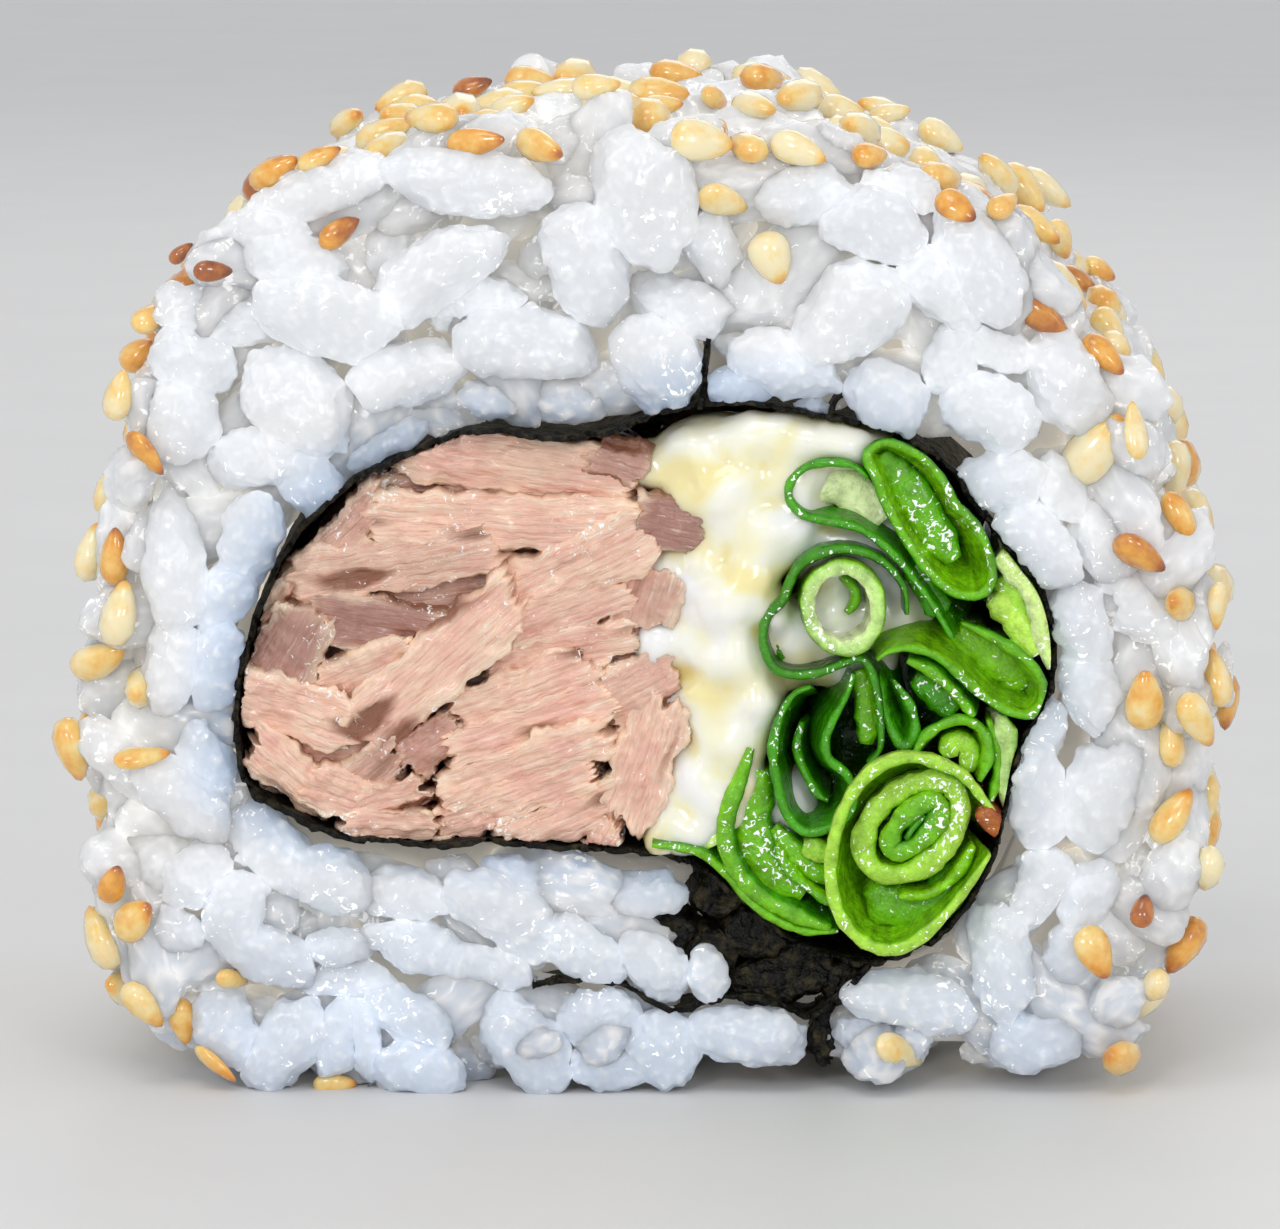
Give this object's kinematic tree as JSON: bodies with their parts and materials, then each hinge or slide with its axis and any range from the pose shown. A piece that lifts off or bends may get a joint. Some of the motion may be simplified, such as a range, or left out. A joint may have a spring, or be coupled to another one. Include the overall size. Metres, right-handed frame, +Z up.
{
  "type": "uramaki",
  "caption": "One cut piece of an inside-out sushi roll: rice with sesame seeds outside, nori inside it, filled with tuna, mayonnaise and spring onion.",
  "frame": {"origin": "middle of the flat underside that the piece rests on", "axes": "+Z up; the roll's axis runs along Y and the shown cut face looks to -Y; +X is that face's right"},
  "size_m": [0.047, 0.0256, 0.0407],
  "materials": {
    "rice": "moist, translucent white grains with cream to toasted sesame seeds",
    "nori": "black-green, rough, half glossy",
    "tuna": "fibrous pinkish beige, moist",
    "mayonnaise": "smooth glossy cream",
    "spring_onion": "moist green, paler inside"
  },
  "bodies": {
    "root": {"rice": "rice", "nori": "nori", "tuna": "tuna", "mayonnaise": "mayonnaise", "spring_onion": "spring_onion"}
  },
  "joints": []
}
